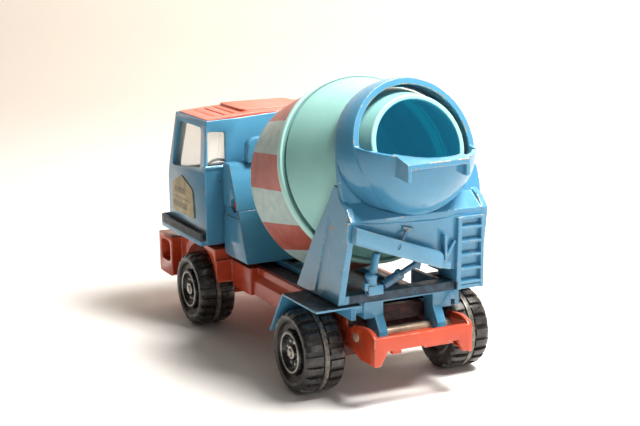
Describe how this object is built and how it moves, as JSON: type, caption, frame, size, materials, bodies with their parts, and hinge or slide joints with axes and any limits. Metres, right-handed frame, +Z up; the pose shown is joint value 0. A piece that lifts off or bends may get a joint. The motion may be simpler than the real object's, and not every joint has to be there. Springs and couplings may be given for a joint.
{
  "type": "toy cement mixer lorry",
  "caption": "Toy cement mixer lorry with a tipping mixer body, a turning drum, a rear hopper, chute and ladder, and rolling wheels.",
  "frame": {"origin": "centre of the bounding box's base, on the ground between the wheels", "axes": "+X to the lorry's right, +Y to its front, +Z up"},
  "size_m": [0.0666, 0.158, 0.0984],
  "materials": {
    "red_paint": "glossy enamel, worn to cream and bare metal at the edges",
    "blue_paint": "glossy enamel, chipped to tan at the edges",
    "steel": "dull, tarnished",
    "tyre": "moulded, dusty",
    "hub_plastic": "black with silver ring and dots",
    "aqua_plastic": "smooth, with printed red bars",
    "red_plastic": "smooth",
    "dark_plastic": "matt",
    "glazing": "clear, slightly yellowed",
    "lamp_clear": "clear silvered lamp",
    "badge": "printed paper, blank"
  },
  "bodies": {
    "chassis": {"chassis_casting": "red_paint", "rivet_rear": "steel", "rivet_front": "steel", "tipping_pin": "steel", "front_axle": "steel", "rear_axle": "steel", "headlamp_left": "lamp_clear", "headlamp_right": "lamp_clear", "cab_shell": "blue_paint", "cab_roof": "red_paint", "cab_glazing": "glazing", "cab_interior": "dark_plastic", "steering_wheel": "dark_plastic", "door_badge_left": "badge", "door_badge_right": "badge"},
    "wheel_front_left": {"tyre_front_left": "tyre", "hub_front_left": "hub_plastic"},
    "wheel_front_right": {"tyre_front_right": "tyre", "hub_front_right": "hub_plastic"},
    "wheel_rear_left": {"tyre_rear_left": "tyre", "hub_rear_left": "hub_plastic"},
    "wheel_rear_right": {"tyre_rear_right": "tyre", "hub_rear_right": "hub_plastic"},
    "mixer_body": {"rear_frame": "blue_paint", "front_tower": "blue_paint", "front_tower_cap": "blue_paint", "front_tower_crest": "blue_paint", "tower_pin_left": "red_plastic", "tower_pin_right": "red_plastic", "rear_tower": "blue_paint", "hopper": "blue_paint", "chute": "blue_paint", "ram_upright": "blue_paint", "ram_slanted": "blue_paint", "ladder": "blue_paint"},
    "drum": {"drum_rear_shell": "aqua_plastic", "drum_front_shell": "aqua_plastic", "drum_spindle": "steel"}
  },
  "joints": [
    {"name": "wheel_front_left_spin", "type": "hinge", "parent": "chassis", "child": "wheel_front_left", "pos_m": [0, 0.0449, 0.0132], "axis": [1, 0, 0], "continuous": true},
    {"name": "wheel_front_right_spin", "type": "hinge", "parent": "chassis", "child": "wheel_front_right", "pos_m": [0, 0.0449, 0.0132], "axis": [1, 0, 0], "continuous": true},
    {"name": "wheel_rear_left_spin", "type": "hinge", "parent": "chassis", "child": "wheel_rear_left", "pos_m": [0, -0.0406, 0.0132], "axis": [1, 0, 0], "continuous": true},
    {"name": "wheel_rear_right_spin", "type": "hinge", "parent": "chassis", "child": "wheel_rear_right", "pos_m": [0, -0.0406, 0.0132], "axis": [1, 0, 0], "continuous": true},
    {"name": "body_tip", "type": "hinge", "parent": "chassis", "child": "mixer_body", "pos_m": [0, -0.0551, 0.0199], "axis": [1, 0, 0], "range_deg": [0, 30]},
    {"name": "drum_spin", "type": "hinge", "parent": "mixer_body", "child": "drum", "pos_m": [0, -0.0406, 0.07071], "axis": [0, -0.9373, 0.3486], "continuous": true}
  ]
}
